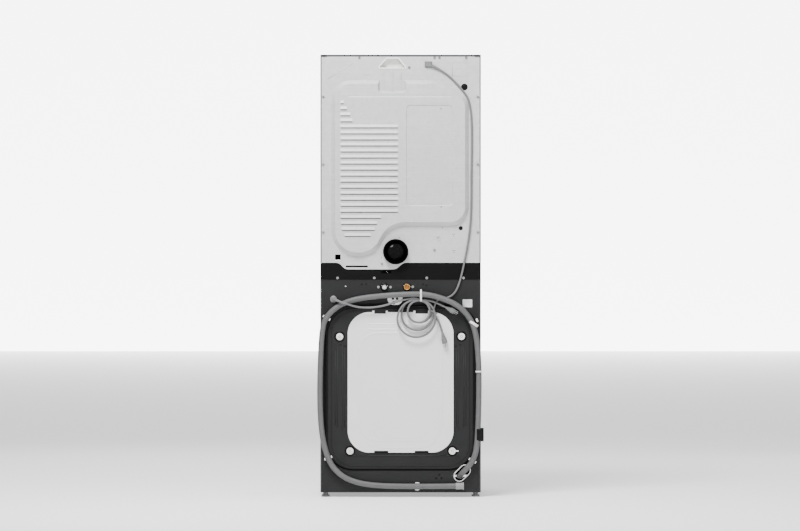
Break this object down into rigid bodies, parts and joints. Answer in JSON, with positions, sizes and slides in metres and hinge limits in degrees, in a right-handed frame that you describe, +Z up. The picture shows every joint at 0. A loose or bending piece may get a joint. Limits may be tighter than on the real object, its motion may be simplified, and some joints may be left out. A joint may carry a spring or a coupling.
{
  "type": "washer dryer stack",
  "caption": "One-piece laundry centre: vented tumble dryer over a front-load washer, round doors in front, pressed rear panels, exhaust spigot, drain hose and two power leads behind.",
  "frame": {"origin": "on the floor under the middle of the machine's box, hose and leads left out", "axes": "+Z up, doors face -Y, wall side faces +Y, +X to the right of somebody facing the doors"},
  "size_m": [0.7042, 0.7851, 1.89],
  "materials": {
    "graphite_paint": "fine textured dark grey enamel",
    "charcoal_paint": "matt charcoal enamel",
    "black_paint": "matt black enamel",
    "galvanised": "bright galvanised pressed sheet",
    "white_paint": "white enamel on pressed sheet",
    "white_plastic": "white moulded plastic",
    "grey_plastic": "grey moulded plastic",
    "black_plastic": "black moulded plastic",
    "silver_plastic": "silver painted plastic",
    "tub_plastic": "glass-filled plastic",
    "zinc": "zinc plate",
    "stainless": "satin stainless steel",
    "cast_aluminium": "as cast",
    "bearing_steel": "ground steel",
    "winding": "enamelled copper",
    "concrete": "rough cast block",
    "brass": "turned brass",
    "glass": "clear tempered glass",
    "smoked_window": "smoked window",
    "rubber_grey": "moulded rubber",
    "rubber_black": "moulded rubber",
    "hose_grey": "corrugated grey hose",
    "cord_grey": "grey flexible lead"
  },
  "bodies": {
    "cabinet": {"base_frame": "black_paint", "levelling_feet": "grey_plastic", "side_panels": "graphite_paint", "top_cover": "graphite_paint", "middle_band": "black_paint", "dryer_rear_panel": "galvanised", "grip_insert": "white_plastic", "washer_rear_frame": "charcoal_paint", "rear_cover_ring": "charcoal_paint", "rear_cover_plate": "white_paint", "transport_caps": "white_plastic", "inlet_valves": "white_plastic", "rear_screws": "zinc", "hose_clips": "white_plastic", "cord_glands": "grey_plastic", "washer_front_panel": "graphite_paint", "dryer_front_panel": "graphite_paint", "door_hinges": "zinc", "control_panel": "black_plastic", "display_window": "smoked_window", "drawer_housing": "tub_plastic", "washer_tub": "tub_plastic", "tub_bearings": "bearing_steel", "motor_stator": "winding", "counterweights": "concrete", "tub_suspension": "black_paint", "door_gasket": "rubber_grey", "drain_pump": "black_plastic", "dryer_bulkhead": "galvanised", "dryer_motor": "zinc", "blower_housing": "black_plastic", "drive_belt": "rubber_black", "exhaust_duct": "black_paint", "drain_hose": "hose_grey", "hose_cuff": "rubber_grey", "washer_cord": "cord_grey", "dryer_cord": "cord_grey", "cord_coils": "cord_grey", "power_plugs": "grey_plastic"},
    "washer_door": {"washer_door_frame": "silver_plastic", "washer_door_glass": "glass"},
    "dryer_door": {"dryer_door_frame": "silver_plastic", "dryer_door_glass": "glass"},
    "washer_drum": {"washer_drum": "stainless", "drum_lifters": "white_plastic", "drum_spider": "cast_aluminium", "motor_rotor": "zinc"},
    "dryer_drum": {"dryer_drum": "stainless"},
    "left_roller": {"drum_roller_left": "rubber_black"},
    "right_roller": {"drum_roller_right": "rubber_black"},
    "blower_shaft": {"motor_shaft": "bearing_steel", "blower_wheel": "black_plastic"},
    "drawer": {"detergent_drawer": "white_plastic"},
    "lint_screen": {"lint_filter": "tub_plastic"},
    "pump_flap": {"filter_flap": "black_plastic"},
    "washer_dial": {"washer_dial": "silver_plastic"},
    "dryer_dial": {"dryer_dial": "silver_plastic"},
    "washer_button": {"washer_start_button": "silver_plastic"},
    "power_button": {"power_button": "silver_plastic"},
    "dryer_button": {"dryer_start_button": "silver_plastic"}
  },
  "joints": [
    {"name": "washer_door_hinge", "type": "hinge", "parent": "cabinet", "child": "washer_door", "pos_m": [-0.229, -0.346, 0.489], "axis": [0, 0, -1], "range_deg": [0, 125]},
    {"name": "dryer_door_hinge", "type": "hinge", "parent": "cabinet", "child": "dryer_door", "pos_m": [-0.229, -0.346, 1.45], "axis": [0, 0, -1], "range_deg": [0, 125]},
    {"name": "washer_drum_spin", "type": "hinge", "parent": "cabinet", "child": "washer_drum", "pos_m": [0, 0, 0.489], "axis": [0, 1, 0], "continuous": true},
    {"name": "dryer_drum_spin", "type": "hinge", "parent": "cabinet", "child": "dryer_drum", "pos_m": [0, 0, 1.45], "axis": [0, 1, 0], "continuous": true},
    {"name": "left_roller_spin", "type": "hinge", "parent": "cabinet", "child": "left_roller", "pos_m": [-0.18653, 0.2, 1.19326], "axis": [0, 1, 0], "continuous": true},
    {"name": "right_roller_spin", "type": "hinge", "parent": "cabinet", "child": "right_roller", "pos_m": [0.18653, 0.2, 1.19326], "axis": [0, 1, 0], "continuous": true},
    {"name": "blower_spin", "type": "hinge", "parent": "cabinet", "child": "blower_shaft", "pos_m": [0.04, 0.1, 1.076], "axis": [0, 1, 0], "continuous": true},
    {"name": "drawer_slide", "type": "slide", "parent": "cabinet", "child": "drawer", "axis": [0, -1, 0], "range_m": [0, 0.21]},
    {"name": "lint_screen_lift", "type": "slide", "parent": "cabinet", "child": "lint_screen", "axis": [0, 0, 1], "range_m": [0, 0.16]},
    {"name": "pump_flap_hinge", "type": "hinge", "parent": "cabinet", "child": "pump_flap", "pos_m": [0.225, -0.3265, 0.096], "axis": [1, 0, 0], "range_deg": [0, 90]},
    {"name": "washer_dial_turn", "type": "hinge", "parent": "cabinet", "child": "washer_dial", "pos_m": [-0.12, -0.344, 0.956], "axis": [0, 1, 0], "continuous": true},
    {"name": "dryer_dial_turn", "type": "hinge", "parent": "cabinet", "child": "dryer_dial", "pos_m": [0.12, -0.344, 0.956], "axis": [0, 1, 0], "range_deg": [0, 300]},
    {"name": "washer_button_press", "type": "slide", "parent": "cabinet", "child": "washer_button", "axis": [0, 1, 0], "range_m": [0, 0.0025], "stiffness_N_per_m": 400},
    {"name": "power_button_press", "type": "slide", "parent": "cabinet", "child": "power_button", "axis": [0, 1, 0], "range_m": [0, 0.0025], "stiffness_N_per_m": 400},
    {"name": "dryer_button_press", "type": "slide", "parent": "cabinet", "child": "dryer_button", "axis": [0, 1, 0], "range_m": [0, 0.0025], "stiffness_N_per_m": 400}
  ],
  "couplings": [
    {"joint": "left_roller_spin", "follows": "dryer_drum_spin", "ratio": -8.9062},
    {"joint": "right_roller_spin", "follows": "dryer_drum_spin", "ratio": -8.9062},
    {"joint": "blower_spin", "follows": "dryer_drum_spin", "ratio": 23.75}
  ]
}
